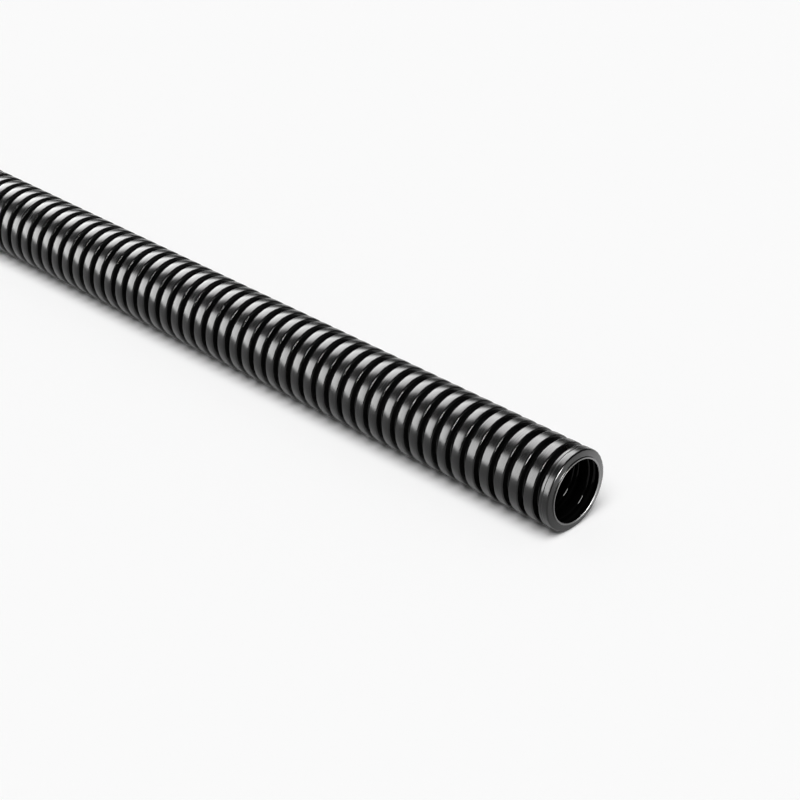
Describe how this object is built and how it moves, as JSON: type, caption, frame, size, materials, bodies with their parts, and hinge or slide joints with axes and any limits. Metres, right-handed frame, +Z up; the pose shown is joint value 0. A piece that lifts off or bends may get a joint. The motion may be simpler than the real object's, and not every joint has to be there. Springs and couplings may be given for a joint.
{
  "type": "corrugated electrical conduit",
  "caption": "Straight length of flexible black plastic conduit with parallel flat-topped ribs and narrow grooves, cut square at both ends, that cables are drawn through.",
  "frame": {"origin": "middle of the length, on the floor under the rib crests that the tube lies on", "axes": "+X along the tube's axis towards the end that the picture shows, +Z up"},
  "size_m": [0.9974, 0.0212, 0.0212],
  "materials": {
    "polyamide": "satin"
  },
  "bodies": {
    "root": {"conduit_tube": "polyamide"}
  },
  "joints": []
}
